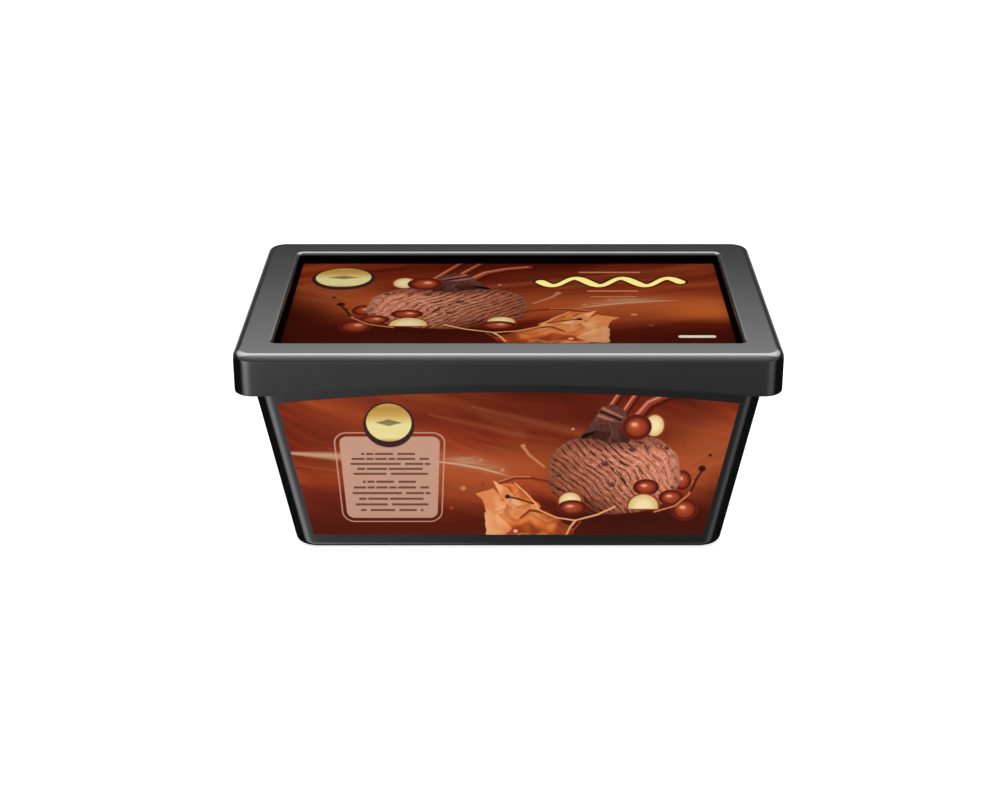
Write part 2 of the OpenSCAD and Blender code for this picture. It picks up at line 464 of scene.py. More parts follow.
def labelPlate(name, place, outline, material):
    # outline(t) gives the lower and upper end of the column at t, from -1 to 1, as (across, up)
    size = labelSheet
    columns, rows = size["columns"], size["rows"]
    columnEnds = [outline(-1 + 2 * i / columns) for i in range(columns + 1)]
    spots = [[tuple(a + (b - a) * j / rows for a, b in zip(low, high)) for j in range(rows + 1)]
             for low, high in columnEnds]
    across = [spot[0] for column in spots for spot in column]
    up = [spot[1] for column in spots for spot in column]
    left, right, low, high = min(across), max(across), min(up), max(up)
    mesh = bmesh.new()
    chart = mesh.loops.layers.uv.new("OFBake")
    layers = []
    for off in (size["proud"], -size["depth"]):
        layers.append([[mesh.verts.new(place(*spot, off)) for spot in column] for column in spots])
    front, back = layers
    strip = size["edgeStrip"]

    def chartPoint(i, j, flat):
        a, b = spots[i][j]
        u, v = (a - left) / (right - left), (b - low) / (high - low)
        return (u, strip * 2 + v * (1 - strip * 2)) if flat else (u, strip * v)

    def face(corners, flat):
        made = mesh.faces.new([layer[i][j] for layer, i, j in corners])
        for loop, (layer, i, j) in zip(made.loops, corners):
            loop[chart].uv = chartPoint(i, j, flat)

    for i in range(columns):
        for j in range(rows):
            square = [(i, j), (i + 1, j), (i + 1, j + 1), (i, j + 1)]
            face([(front, *spot) for spot in square], True)
            face([(back, *spot) for spot in reversed(square)], False)
    rim = [(i, 0) for i in range(columns)] + [(columns, j) for j in range(rows)]
    rim += [(i, rows) for i in range(columns, 0, -1)] + [(0, j) for j in range(rows, 0, -1)]
    for here, following in zip(rim, rim[1:] + rim[:1]):
        face([(front, *following), (front, *here), (back, *here), (back, *following)], False)
    result = bpy.data.meshes.new(name)
    mesh.to_mesh(result)
    mesh.free()
    result.materials.append(material)
    return newObject(name, result)


def wallOutline(halfBase, rise):
    near = halfBase - labelSheet["sideMargin"]
    reach = near + cornerUp * lean
    def outline(t):
        top = cornerUp
        if rise > 0:
            radius = arcRadius(rise, reach)
            top = cornerUp + rise - radius + math.sqrt(radius ** 2 - (t * reach) ** 2)
        return (t * (near + lowEdge * lean), lowEdge), (t * (near + top * lean), top)
    return outline


def panelOutline(t):
    return (t * panelHigh.x, panelLow.y), (t * panelHigh.x, panelHigh.y)


# ---- the print: fields of colour and simple shapes, in millimetres on the label ----

inks = dict(
    deep="4a1409", brown="691f0f", warm="862f17", tan="a35c34", glow="a24d26", amber="c8662c",
    pale="c09a78", dark="360e07", groove="2e120c",
    scoop="864730", scoopLight="cf9074", scoopPink="c07458", frost="e6b8a4",
    cocoa="8e3620", cocoaDark="45110a", cocoaLight="e8a080", cream="e2d09d", creamDark="ccb077",
    chunk="3a1b15", chunkLight="6b4034", chunkTop="54302a", black="120604",
    gold="bd9850", goldLight="d7c98b", goldDark="a68139", plum="331f1e",
    panel="b98f7a", outline="c09280", row="4a2a22", title="ffee92", line="b5734a",
    white="e2d4c4", splash="cd7c48", splashPale="dd9c6a", splashDark="8a3818", rust="702510",
)
paint = {name: ink(code) for name, code in inks.items()}
printLook = dict(
    roughness=0.4, roughnessSwing=0.08,
    grainSize=2.2,       # the film's fine unevenness, per millimetre
    grainDepth=0.01 * mm, grainStrength=0.25,
    wallSpecular=0.03, lidSpecular=0.0,  # the lid's film is seen low and stays matt
)


def oval(g, p, q, cx, cy, rx, ry):  # 0 at the oval's centre, 1 on its edge
    a = g.scaled(p, 1 / rx, -cx / rx)
    b = g.scaled(q, 1 / ry, -cy / ry)
    return g.maths("SQRT", g.maths("MULTIPLY_ADD", b, b, a * a))


def ovalMask(g, p, q, cx, cy, rx, ry, soft=0.06):
    return g.ramp(oval(g, p, q, cx, cy, rx, ry), 1 + soft, 1 - soft)


def strokeMask(g, p, q, start, end, width, tip, soft=0.4):
    # a straight stroke whose half width goes from width to tip
    dx, dy = end[0] - start[0], end[1] - start[1]
    span = dx * dx + dy * dy
    t = g.scaled(p, dx / span, g.scaled(q, dy / span, -(start[0] * dx + start[1] * dy) / span), clamp=True)
    a = g.scaled(t, -dx, p) - start[0]
    b = g.scaled(t, -dy, q) - start[1]
    away = g.maths("SQRT", g.maths("MULTIPLY_ADD", b, b, a * a))
    return g.ramp(away / g.scaled(t, tip - width, width), 1 + soft, 1 - soft)


def pathMask(g, p, q, points, width, tip, soft=0.4):  # strokes end to end
    steps = len(points) - 1
    mask = None
    for i in range(steps):
        wide = [width + (tip - width) * k / steps for k in (i, i + 1)]
        stroke = strokeMask(g, p, q, points[i], points[i + 1], *wide, soft)
        mask = stroke if mask is None else g.maths("MAXIMUM", mask, stroke)
    return mask


def bandMask(g, p, q, peak, bow, width, ends, fade, soft=0.5):
    # a band along a parabola, which fades at its ends
    a = p - peak[0]
    off = g.maths("ABSOLUTE", q - peak[1] + a * a * bow)
    inside = g.both(g.ramp(p, ends[0], ends[0] + fade), g.ramp(p, ends[1], ends[1] - fade))
    return g.both(g.ramp(off, width * (1 + soft), width * (1 - soft)), inside)


def facetDepth(g, p, q, corners):  # how far inside a polygon whose corners all point outwards
    depth = None
    for (ax, ay), (bx, by) in zip(corners, corners[1:] + corners[:1]):
        size = math.hypot(bx - ax, by - ay)
        nx, ny = (ay - by) / size, (bx - ax) / size
        edge = g.scaled(p, nx, g.scaled(q, ny, -(ax * nx + ay * ny)))
        depth = edge if depth is None else g.maths("MINIMUM", depth, edge)
    return depth


def boxField(g, x, y, cx, cy, halfX, halfY, radius):  # distance outside a box with round corners
    a = g.maths("ABSOLUTE", x - cx) - (halfX - radius)
    b = g.maths("ABSOLUTE", y - cy) - (halfY - radius)
    outA, outB = g.maths("MAXIMUM", a, 0.0), g.maths("MAXIMUM", b, 0.0)
    outside = g.maths("SQRT", g.maths("MULTIPLY_ADD", outB, outB, outA * outA))
    return outside + g.maths("MINIMUM", g.maths("MAXIMUM", a, b), 0.0) - radius


def satin(g, p, q):  # poured chocolate: long soft streaks that run down towards the scoop
    tilt = math.radians(19)
    alongFlow = p * math.cos(tilt) - q * math.sin(tilt)
    acrossFlow = p * math.sin(tilt) + q * math.cos(tilt)
    sway = g.noise(g.vector(p, q, 3.0), 0.024, 1.0)
    bent = acrossFlow + sway * 13.0
    streaks = g.noise(g.vector(alongFlow * 0.012, bent * 0.09, 5.0), 1.0, 4.0, 0.58)
    colour = g.stepped(streaks, [
        (0.3, paint["deep"]), (0.43, paint["brown"]), (0.54, paint["warm"]), (0.72, paint["glow"]),
    ])
    glows = [  # centre, half sizes, strength
        (-25, 6, 14, 7, 0.7), (30, 8, 14, 14, 0.7), (-66, 3, 26, 8, 0.6), (-84, 26, 18, 12, 0.3),
        (-44, -3, 16, 9, 0.6),
    ]
    for cx, cy, rx, ry, strength in glows:
        colour = g.blend(ovalMask(g, p, q, cx, cy, rx, ry, 0.85) * strength, colour, paint["glow"])
    fine = g.noise(g.vector(alongFlow * 0.02, bent * 0.5, 9.0), 1.0, 2.5)
    sheen = g.both(g.ramp(fine, 0.5, 0.7, 0.6), ovalMask(g, p, q, -34, 15, 26, 11, 0.9))
    colour = g.blend(sheen * 0.6, colour, paint["tan"])
    shades = [
        (-52, 27, 26, 9, 0.6), (-14, 25, 26, 14, 0.75), (24, 24, 10, 7, 0.5), (-96, 12, 14, 8, 0.2),
        (43, -8, 13, 9, 0.95), (-58, -25, 22, 10, 0.55), (-94, -20, 24, 14, 0.8),
    ]
    for cx, cy, rx, ry, strength in shades:
        colour = g.blend(ovalMask(g, p, q, cx, cy, rx, ry, 0.8) * strength, colour, paint["deep"])
    rays = [  # start, end, half widths
        ((-46, 27), (-12, 17), 0.4, 1.6), ((23, 4), (43, 17), 0.4, 1.6), ((-60, 24), (-30, 16), 0.4, 1.4),
        ((24, 1), (40, 8), 0.3, 1.3), ((-106, 4.4), (-88, 1.6), 0.2, 0.5),
    ]
    for start, end, width, tip in rays:
        colour = g.blend(strokeMask(g, p, q, start, end, width, tip, 1.0) * 0.22, colour, paint["tan"])
    colour = g.blend(g.ramp(q, -3, -22, 0.85), colour, paint["deep"])
    return g.blend(ovalMask(g, p, q, 22, -27, 44, 17, 0.6) * 0.75, colour, paint["dark"])


def swoosh(g, under, p, q):  # the bright lip of the pouring chocolate
    tail = strokeMask(g, p, q, (-108, 9.2), (-80, 6.9), 0.35, 1.7, 0.9)
    colour = g.blend(g.both(tail, g.ramp(p, -78, -94)) * 0.8, under, paint["pale"])
    grain = g.noise(g.vector(p * 0.09, q * 1.1, 1.0), 1.0, 2.0)
    wide = bandMask(g, p, q, (-66, 7.4), 0.0058, 2.2, (-62, -31), 14, 1.0)
    colour = g.blend(g.both(wide, g.ramp(grain, 0.25, 0.7)) * 0.6, colour, paint["pale"])
    low = bandMask(g, p, q, (-66, 6.0), 0.0062, 0.34, (-64, -32), 8, 0.8)
    return g.blend(low * 0.85, colour, paint["pale"])


def splash(g, under, p, q):  # molten chocolate that jumps up beside the scoop
    rough = (g.noise(g.vector(p, q, 4.0), 0.2, 1.5, 0.5) - 0.5) * 4.5
    swirl = (g.noise(g.vector(p, q, 14.0), 0.2, 1.5, 0.5) - 0.5) * 4.5
    a, b = p + rough, q + swirl
    main = facetDepth(g, a, b, [(-41, -26), (-24, -26), (-24, -12), (-32, -3.6), (-38, -3.4), (-40, -11)])
    lip = facetDepth(g, a, b, [(-27, -26), (-15.0, -26), (-12.0, -17.6), (-19, -16.4), (-27, -10)])
    body = g.maths("MAXIMUM", main, lip)
    folds = g.noise(g.vector(a * 0.7 + b * 0.5, b * 0.7 - a * 0.4, 21.0), 0.13, 1.0, 0.5, 0.6)
    tone = g.stepped(folds, [
        (0.36, paint["splashDark"]), (0.46, paint["glow"]), (0.55, paint["amber"]), (0.66, paint["splash"]),
    ])
    colour = g.blend(g.ramp(body, -0.3, 0.3), under, tone)
    petals = [
        [(-45.2, -7.4), (-40.2, -12.2), (-36.8, -9.4), (-39.6, -5.2)],
        [(-39.8, -2.0), (-37.4, -8.2), (-33.4, -13.6), (-30.2, -11.6), (-35.0, -5.0)],
        [(-42.9, -9.8), (-41.9, -16.6), (-36.2, -15.0), (-35.2, -10.6), (-39.6, -9.0)],
        [(-42.6, -15.2), (-41.8, -25.0), (-36.4, -25.0), (-33.6, -21.2), (-38.8, -14.4)],
    ]
    depth = None
    for corners in petals:
        petal = facetDepth(g, p + rough * 0.45, q + swirl * 0.45, corners)
        depth = petal if depth is None else g.maths("MAXIMUM", depth, petal)
    petalTone = g.blend(g.ramp(folds, 0.4, 0.62), paint["splash"], paint["splashPale"])
    colour = g.blend(g.ramp(depth, -0.2, 0.2), colour, petalTone)
    vein = g.noise(g.vector(p, q, 31.0), 0.12, 0.5)
    seam = g.maths("ABSOLUTE", vein - 0.5)
    inside = g.ramp(body, 0.2, 1.6)
    colour = g.blend(g.both(g.ramp(seam, 0.05, 0.0), inside) * 0.3, colour, paint["rust"])
    crest = g.maths("ABSOLUTE", vein - 0.565)
    return g.blend(g.both(g.ramp(crest, 0.02, 0.0), inside) * 0.35, colour, paint["splashPale"])


def drips(g, under, p, q):
    colour = under
    paths = [  # ink, points, half width at the start and at the end
        ("line", [(-29.8, 11.6), (-27.8, 8.3), (-22.9, 3.6)], 0.55, 0.4),
        ("rust", [(-37.4, -2.7), (-32.4, -0.9), (-27, -0.9), (-21.2, -2.4)], 0.75, 0.45),
        ("line", [(-37.6, -2.3), (-32.6, -0.3), (-27.4, -0.4)], 0.28, 0.2),
        ("splashPale", [(-32.4, -3.0), (-29.0, -6.8), (-26.0, -10.6), (-25.0, -13.0)], 0.22, 0.3),
        ("groove", [(-35.2, -8.3), (-31.5, -9.3), (-26.4, -11.2)], 0.42, 0.34),
        ("rust", [(-30.6, -17.2), (-27.4, -14.0), (-21.6, -14.9)], 0.35, 0.7),
        ("splashPale", [(-25.6, -13.2), (-18.7, -17.0), (-12.4, -18.2), (-5.0, -15.8), (0.6, -12.6)],
         0.24, 0.38),
        ("splashPale", [(-12.2, -18.2), (-14.0, -21.0), (-15.4, -24.5)], 0.42, 0.25),
        ("cocoa", [(-10.5, -18.6), (-12.4, -21.4), (-13.6, -24.5)], 0.3, 0.2),
        ("line", [(14.0, -14.6), (20.6, -12.2), (25.0, -7.6), (26.4, -2.2)], 0.34, 0.3),
        ("groove", [(25.6, -6.0), (27.2, -1.4), (29.2, 2.6)], 0.55, 0.35),
    ]
    for name, points, width, tip in paths:
        colour = g.blend(pathMask(g, p, q, points, width, tip) * 0.92, colour, paint[name])
    drops = [
        ("line", -29.8, 11.8, 0.8), ("line", -49.5, -5.0, 0.9), ("line", -43.6, 6.4, 0.6),
        ("cocoa", -43.0, -3.2, 0.6), ("cocoa", -53.5, -13.0, 0.8), ("line", -36.6, 2.3, 0.75),
        ("groove", -34.9, -8.4, 0.85), ("groove", 28.9, 2.9, 1.25), ("cocoa", 22.4, 11.6, 0.7),
        ("groove", 31.2, 8.2, 0.6), ("line", -13.7, 18.4, 0.55), ("cocoaLight", -32.2, -22.6, 0.7),
    ]
    for name, cx, cy, size in drops:
        colour = g.blend(ovalMask(g, p, q, cx, cy, size, size, 0.3), colour, paint[name])
    return colour


def curls(g, under, p, q):  # rolled chocolate sticks behind the scoop
    colour = under
    sticks = [
        ([(-5.2, 20), (-0.4, 29), (3.4, 36)], 1.35), ([(0.2, 20), (5.0, 29), (9.2, 36)], 1.4),
        ([(6.4, 22), (11.0, 28.4), (17.0, 31.6), (23, 33)], 2.1),
    ]
    for points, width in sticks:
        colour = g.blend(pathMask(g, p, q, points, width, width, 0.15), colour, paint["cocoaDark"])
        side = [(x - width * 0.28, y + width * 0.12) for x, y in points]
        colour = g.blend(pathMask(g, p, q, side, width * 0.6, width * 0.6, 0.45), colour, paint["cocoa"])
        shine = [(x - width * 0.42, y + width * 0.2) for x, y in points]
        colour = g.blend(pathMask(g, p, q, shine, width * 0.16, width * 0.2, 0.8) * 0.5, colour,
                         paint["cocoaLight"])
    return colour


def chunkBlocks(g, under, p, q):  # two broken pieces of dark chocolate
    facets = g.noise(g.vector(p * 1.2, q, 7.0), 0.2, 3.0, 0.7)
    slab = facetDepth(g, p, q, [
        (-11.4, 14.6), (-2.0, 14.6), (3.8, 20.0), (3.2, 25.6), (-1.2, 28.0), (-4.6, 27.0),
    ])
    tone = g.blend(g.ramp(facets, 0.4, 0.62), paint["chunkTop"], paint["chunkLight"])
    for start, end in (((-4.2, 26.4), (2.2, 23.0)), ((-5.4, 23.6), (1.2, 20.8))):
        tone = g.blend(strokeMask(g, p, q, start, end, 0.5, 0.25, 0.8) * 0.6, tone, paint["scoopPink"])
    tone = g.blend(strokeMask(g, p, q, (-4.8, 25.2), (1.8, 21.9), 0.4, 0.3, 0.6), tone, paint["black"])
    tone = g.blend(strokeMask(g, p, q, (-11, 15.2), (-6.4, 17.2), 1.1, 0.5, 0.6), tone, paint["black"])
    colour = g.blend(g.ramp(slab, -0.25, 0.25), under, tone)
    block = facetDepth(g, p, q, [
        (-7.4, 15.2), (-1.6, 13.0), (4.4, 13.4), (5.4, 16.0), (2.4, 21.6), (-5.4, 21.0),
    ])
    tone = g.blend(g.ramp(facets, 0.42, 0.66), paint["chunk"], paint["chunkTop"])
    lit = g.both(g.ramp(block, 0.9, 0.2), g.ramp(q, 17.5, 20.5))
    tone = g.blend(lit * 0.8, tone, paint["chunkLight"])
    tone = g.blend(pathMask(g, p, q, [(-2.2, 20.8), (-0.8, 17.4), (-1.8, 13.4)], 0.3, 0.2, 0.8) * 0.7, tone,
                   paint["chunkLight"])
    colour = g.blend(g.ramp(block, -0.7, 0.1) * 0.6, colour, paint["black"])
    return g.blend(g.ramp(block, -0.2, 0.2), colour, tone)


def scoopBall(g, under, p, q):
    halfAcross, halfUp, fullness = 21.9, 16.2, 2.3  # fullness is 2 for an oval and more towards a box
    dent = g.noise(g.vector(p, q, 6.0), 0.11, 2.0)
    a = g.maths("POWER", g.maths("ABSOLUTE", g.scaled(p, 1 / halfAcross, -0.2 / halfAcross)), fullness)
    b = g.maths("POWER", g.maths("ABSOLUTE", g.scaled(q, 1 / halfUp, -0.7 / halfUp)), fullness)
    field = g.maths("POWER", a + b, 1 / fullness) + (dent - 0.5) * 0.12
    warp = g.noise(g.vector(p, q, 2.0), 0.085, 2.0)
    rightwards = g.maths("MAXIMUM", p, 0.0)
    ridge = p * 0.74 + q * 0.7 - rightwards * q * 0.016 + warp * 5.0
    alongRidge = p * 0.66 - q * 0.78
    loose = g.noise(g.vector(ridge * 0.55, alongRidge * 0.1, 0.0), 1.0, 1.0)
    wave = g.maths("SINE", ridge * 3.0 + loose * 6.0)
    broken = g.noise(g.vector(alongRidge * 0.36, ridge * 1.5, 3.0), 1.0, 1.5)
    grain = g.noise(g.vector(ridge * 1.9, alongRidge * 0.4, 8.0), 1.0, 3.0, 0.65)
    lit = g.ramp(g.scaled(p, 0.034, g.scaled(q, 0.02, grain * 0.9 - 0.45)), -0.6, 0.62)
    colour = g.blend(lit, paint["scoop"], paint["scoopPink"])
    shiny = ovalMask(g, p, q, 7, 4, 17, 14, 0.8) * 0.7 + 0.25
    crest = g.both(g.ramp(wave, -0.2, -0.95), g.ramp(grain, 0.44, 0.62))
    colour = g.blend(g.both(crest, shiny), colour, paint["scoopLight"])
    colour = g.blend(g.both(g.ramp(grain, 0.45, 0.36), g.ramp(p, -6, 12)) * 0.6, colour, paint["groove"])
    grooves = g.both(g.ramp(wave, 0.5, 0.85), g.ramp(broken, 0.4, 0.5))
    depthOfGroove = g.ramp(p, 18, -2, 0.5) + 0.5
    colour = g.blend(g.both(grooves, depthOfGroove), colour, paint["groove"])
    frost = g.noise(g.vector(ridge * 1.3, alongRidge * 0.45, 17.0), 1.0, 2.5, 0.7)
    sparkle = g.both(g.ramp(frost, 0.57, 0.66), ovalMask(g, p, q, 8, 4, 15, 14, 0.9))
    colour = g.blend(sparkle * 0.75, colour, paint["frost"])
    colour = g.blend(g.ramp(field, 0.84, 1.02, 0.5), colour, paint["cocoaDark"])
    rimLight = g.both(g.both(g.ramp(field, 0.93, 0.97), g.ramp(field, 1.02, 0.99)), g.ramp(q, -9, 4))
    colour = g.blend(rimLight * 0.12, colour, paint["pale"])
    chips = [
        (5.5, 10.5, 1.1), (-3.1, 4.9, 1.4), (-0.6, -3.5, 1.2), (16.9, 11.2, 0.9), (-18.2, 0.5, 1.2),
        (19.4, -4.6, 0.7),
    ]
    for cx, cy, size in chips:
        chip = g.maths("MAXIMUM", g.maths("ABSOLUTE", p - cx) + g.maths("ABSOLUTE", q - cy) * 0.7,
                       g.maths("ABSOLUTE", q - cy) * 1.25)
        colour = g.blend(g.ramp(chip, size * 1.15, size * 0.9), colour, paint["chunkLight"])
        colour = g.blend(ovalMask(g, p, q, cx + 0.3, cy - 0.5, size * 0.8, size * 0.5, 0.4) * 0.6, colour,
                         paint["chunk"])
    shadow = ovalMask(g, p, q, 1, 13.5, 14, 3.0, 0.7)
    colour = g.blend(shadow * 0.65, colour, paint["cocoaDark"])
    colour = g.blend(ovalMask(g, p, q, -9, -13, 9, 4, 0.7) * 0.6, colour, paint["cocoaDark"])
    return g.blend(g.ramp(field, 1.02, 0.985), under, colour)


def cocoaBall(g, under, p, q, cx, cy, rx, ry):
    field = oval(g, p, q, cx, cy, rx, ry)
    tone = g.stepped(field, [
        (0.0, paint["cocoa"]), (0.5, paint["cocoa"]), (0.85, paint["cocoaDark"]), (0.97, paint["brown"]),
    ])
    glowSpot = oval(g, p, q, cx - rx * 0.1, cy + ry * 0.1, rx * 0.62, ry * 0.55)
    tone = g.blend(g.ramp(glowSpot, 1.0, 0.0, 0.5), tone, paint["amber"])
    gleam = oval(g, p, q, cx - rx * 0.16, cy + ry * 0.2, rx * 0.26, ry * 0.2)
    tone = g.blend(g.ramp(gleam, 1.3, 0.2, 0.85), tone, paint["cocoaLight"])
    return g.blend(g.ramp(field, 1.04, 0.96), under, tone)


def creamHalf(g, under, p, q, cx, cy, rx, ry, flat):
    # a bitten half: pale inside with a thin cocoa shell, cut straight at flat
    field = oval(g, p, q, cx, cy, rx, ry)
    tone = g.blend(g.ramp(field, 0.35, 1.0), paint["cream"], paint["creamDark"])
    upper = g.ramp(q, flat - 0.15, flat + 0.15)
    shell = g.ramp(oval(g, p, q, cx, cy, rx + 0.6, ry + 0.6), 1.03, 0.97)
    colour = g.blend(g.both(shell, g.ramp(q, flat - 0.7, flat - 0.4)), under, paint["cocoa"])
    return g.blend(g.both(g.ramp(field, 1.04, 0.96), upper), colour, tone)


def pictureTree():  # the whole picture, in millimetres round the scoop's centre
    tree = bpy.data.node_groups.new("scoopPicture", "ShaderNodeTree")
    for name in ("Across", "Up", "Curls Across"):
        tree.interface.new_socket(name, in_out="INPUT", socket_type="NodeSocketFloat")
    tree.interface.new_socket("Colour", in_out="OUTPUT", socket_type="NodeSocketColor")
    g = Graph(tree)
    p, q, curlsAcross = (Wire(g, socket) for socket in g.add("NodeGroupInput").outputs[:3])
    colour = satin(g, p, q)
    colour = swoosh(g, colour, p, q)
    colour = splash(g, colour, p, q)
    colour = curls(g, colour, curlsAcross, q)
    colour = g.blend(ovalMask(g, p, q, 3, -16.5, 19, 4, 0.7) * 0.85, colour, paint["dark"])
    colour = cocoaBall(g, colour, p, q, 22.6, -1.8, 3.0, 4.0)
    colour = creamHalf(g, colour, p, q, 12.6, 19.8, 3.0, 4.0, 10.0)
    colour = scoopBall(g, colour, p, q)
    colour = chunkBlocks(g, colour, p, q)
    sweets = [  # centre, half sizes and, of a bitten half, where it is cut
        (6.9, 19.2, 4.9, 5.0), (10.8, -4.6, 4.4, 3.3), (10.1, -12.6, 4.9, 5.0, -13.4),
        (19.2, -8.8, 4.2, 3.2), (23.9, -13.7, 4.5, 4.6), (-14.2, -10.4, 3.6, 3.6, -12.0),
        (-13.4, -12.9, 5.0, 3.1),
    ]
    for spot in sweets:
        drawn = creamHalf if len(spot) > 4 else cocoaBall
        colour = drawn(g, colour, p, q, *spot)
    g.add("NodeGroupOutput", None, {0: drips(g, colour, p, q)})
    print("picture:", len(tree.nodes), "nodes")
    return tree


picture = pictureTree()


def scoopPicture(g, p, q, curlsAcross):
    return g.wire("ShaderNodeGroup", {"node_tree": picture}, {0: p, 1: q, 2: curlsAcross})


def badge(g, under, x, y, cx, cy, size):  # a plain gold disc on a plum ring
    ring = ovalMask(g, x, y, cx, cy - size * 0.12, size * 1.14, size * 1.2, 0.03)
    colour = g.blend(ring, under, paint["plum"])
    height = g.scaled(y, 0.5 / size, 0.5 - cy * 0.5 / size)
    gold = g.stepped(height, [
        (0.0, paint["goldDark"]), (0.1, paint["goldLight"]), (0.45, paint["goldLight"]),
        (0.68, paint["gold"]), (0.88, paint["goldDark"]), (1.0, paint["gold"]),
    ])
    lozenge = g.maths("ABSOLUTE", x - cx) * 0.3 + g.maths("ABSOLUTE", y - cy)
    gold = g.blend(g.ramp(lozenge, size * 0.2, size * 0.16, 0.7), gold, paint["plum"])
    return g.blend(ovalMask(g, x, y, cx, cy, size, size, 0.02), colour, gold)


def bars(g, under, x, y, centre, top, pitch, count, half, thick, colour):
    # plain broken bars, row under row, which stand for small print
    drop = (top - y) / pitch
    row = g.maths("FLOOR", drop + 0.5)
    off = g.maths("ABSOLUTE", drop - row) * pitch
    shown = g.both(g.ramp(row, -0.6, -0.4), g.ramp(row, count - 0.4, count - 0.6))
    chance = g.wire("ShaderNodeTexWhiteNoise", {"noise_dimensions": "1D"}, {"W": row + centre})
    ends = g.ramp(g.maths("ABSOLUTE", x - centre) - half + chance * half * 0.3, 0.15, -0.15)
    breaks = g.noise(g.vector(x * 0.42, row * 7.0), 1.0, 0.0)
    bar = g.both(g.ramp(off, thick * 0.6, thick * 0.4), shown)
    mask = g.both(bar, g.both(ends, g.ramp(breaks, 0.36, 0.4)))
    return g.blend(mask * 0.85, under, colour)


def storyPanel(g, under, x, y, cx, cy, halfX, halfY):  # a pale panel with a thin outline round it
    flare = 0.0028  # the panel is a little wider at its top, per millimetre
    leaned = (x - cx) / (1 + (y - cy) * flare) + cx
    field = boxField(g, leaned, y, cx, cy, halfX, halfY, 2.6)
    colour = g.blend(g.ramp(field, 0.12, -0.12, 0.93), under, paint["panel"])
    line = g.ramp(g.maths("ABSOLUTE", field - 1.5), 0.34, 0.12, 0.75)
    colour = g.blend(line, colour, paint["outline"])
    colour = bars(g, colour, x, y, cx, 38.4, 1.98, 5, 13.2, 0.85, paint["row"])
    return bars(g, colour, x, y, cx, 27.3, 2.3, 6, 13.0, 0.9, paint["row"])


def ribbon(g, under, x, y, cx, cy, half, height, waves):  # a wavy ribbon of cream with a dark edge
    pace = waves * math.pi / half
    swing = height * 0.5

    def curve(across):  # the ribbon's height there, and its slope
        phase = (across - cx) * pace
        return g.maths("SINE", phase) * swing + cy, g.maths("COSINE", phase) * (pace * swing)

    nearest = x
    for share in (0.7, 1.0):  # walks towards the closest point of the curve
        level, slope = curve(nearest)
        error = nearest - x + (level - y) * slope
        nearest = nearest - error / (slope * slope + 1) * share
    nearest = g.maths("MINIMUM", g.maths("MAXIMUM", nearest, cx - half), cx + half)
    level, slope = curve(nearest)
    offX, offY = x - nearest, y - level
    away = g.maths("SQRT", g.maths("MULTIPLY_ADD", offX, offX, offY * offY))
    thick = 1.5 - g.maths("SINE", g.maths("ARCTANGENT", slope)) * 0.45  # fuller where it runs down
    colour = g.blend(g.ramp(away - thick, 1.3, 0.7, 0.9), under, paint["dark"])
    return g.blend(g.ramp(away - thick, 0.2, -0.15), colour, paint["title"])


def plainBar(g, under, x, y, cx, cy, halfX, halfY, colour):
    field = boxField(g, x, y, cx, cy, halfX, halfY, halfY * 0.9)
    return g.blend(g.ramp(field, 0.1, -0.1), under, colour)


def labelCoordinates(g, turn):
    # millimetres across and up the label; a wall's label is turned to the front first
    place = g.wire("ShaderNodeTexCoord", None, None, out="Object")
    turned = g.wire("ShaderNodeMapping", None, {"Vector": place, "Rotation": (0.0, 0.0, -turn)})
    parts = g.add("ShaderNodeSeparateXYZ", None, {0: turned})
    return [Wire(g, socket) * (1 / mm) for socket in parts.outputs]


frontPrint = dict(
    scoop=(34.6, 29.7),
    panel=(-38.6, 28.9), panelHalf=(15.7, 16.3),
    badge=(-38.6, 50.6), badgeSize=7.3,
)
endPrint = dict(scoop=(4.0, 27.5), scale=0.95, badge=(-29.0, 47.5), badgeSize=6.0)
lidPrint = dict(
    scoop=(-20.5, -3.0), scale=1.27, curlShift=0.6, badge=(-58.4, 28.1), badgeSize=9.8,
    ribbon=(36.0, 23.4),
    ribbonShape=(24.5, 7.6, 3),  # half length, height, waves
    lines=[(36.0, 33.6, 11.0, 0.7), (36.3, 14.0, 9.0, 0.7), (36.3, 8.2, 8.0, 0.45)],
    volume=(61.8, -29.8, 6.2, 1.1),  # centre and half sizes, as of the lines
)


def frontArt(g, x, y):
    made = frontPrint
    p, q = x - made["scoop"][0], y - made["scoop"][1]
    colour = scoopPicture(g, p, q, p)
    colour = storyPanel(g, colour, x, y, *made["panel"], *made["panelHalf"])
    return badge(g, colour, x, y, *made["badge"], made["badgeSize"])


def endArt(g, x, y):
    made = endPrint
    p, q = [(value - centre) / made["scale"] for value, centre in zip((x, y), made["scoop"])]
    colour = scoopPicture(g, p, q, p)
    return badge(g, colour, x, y, *made["badge"], made["badgeSize"])


def lidArt(g, x, y):
    made = lidPrint
    # the lid's picture is the walls' one mirrored, but for its curls
    p = (made["scoop"][0] - x) / made["scale"]
    q = (y - made["scoop"][1]) / made["scale"]
    colour = scoopPicture(g, p, q, made["curlShift"] - p)
    # dark patches of the print; the wide band at (0, 46) along the panel's back edge is painted shade under
    # the recess's back wall
    for cx, cy, rx, ry, strength in ((-80, -14, 20, 24, 0.8), (64, -34, 26, 14, 0.7), (0, 46, 80, 9, 0.4)):
        colour = g.blend(ovalMask(g, x, y, cx, cy, rx, ry, 0.8) * strength, colour, paint["dark"])
    colour = g.blend(ovalMask(g, x, y, 72, -5, 17, 8, 0.9) * 0.6, colour, paint["amber"])
    colour = badge(g, colour, x, y, *made["badge"], made["badgeSize"])
    colour = ribbon(g, colour, x, y, *made["ribbon"], *made["ribbonShape"])
    for spot in made["lines"]:
        colour = plainBar(g, colour, x, y, *spot, paint["line"])
    return plainBar(g, colour, x, y, *made["volume"], paint["white"])


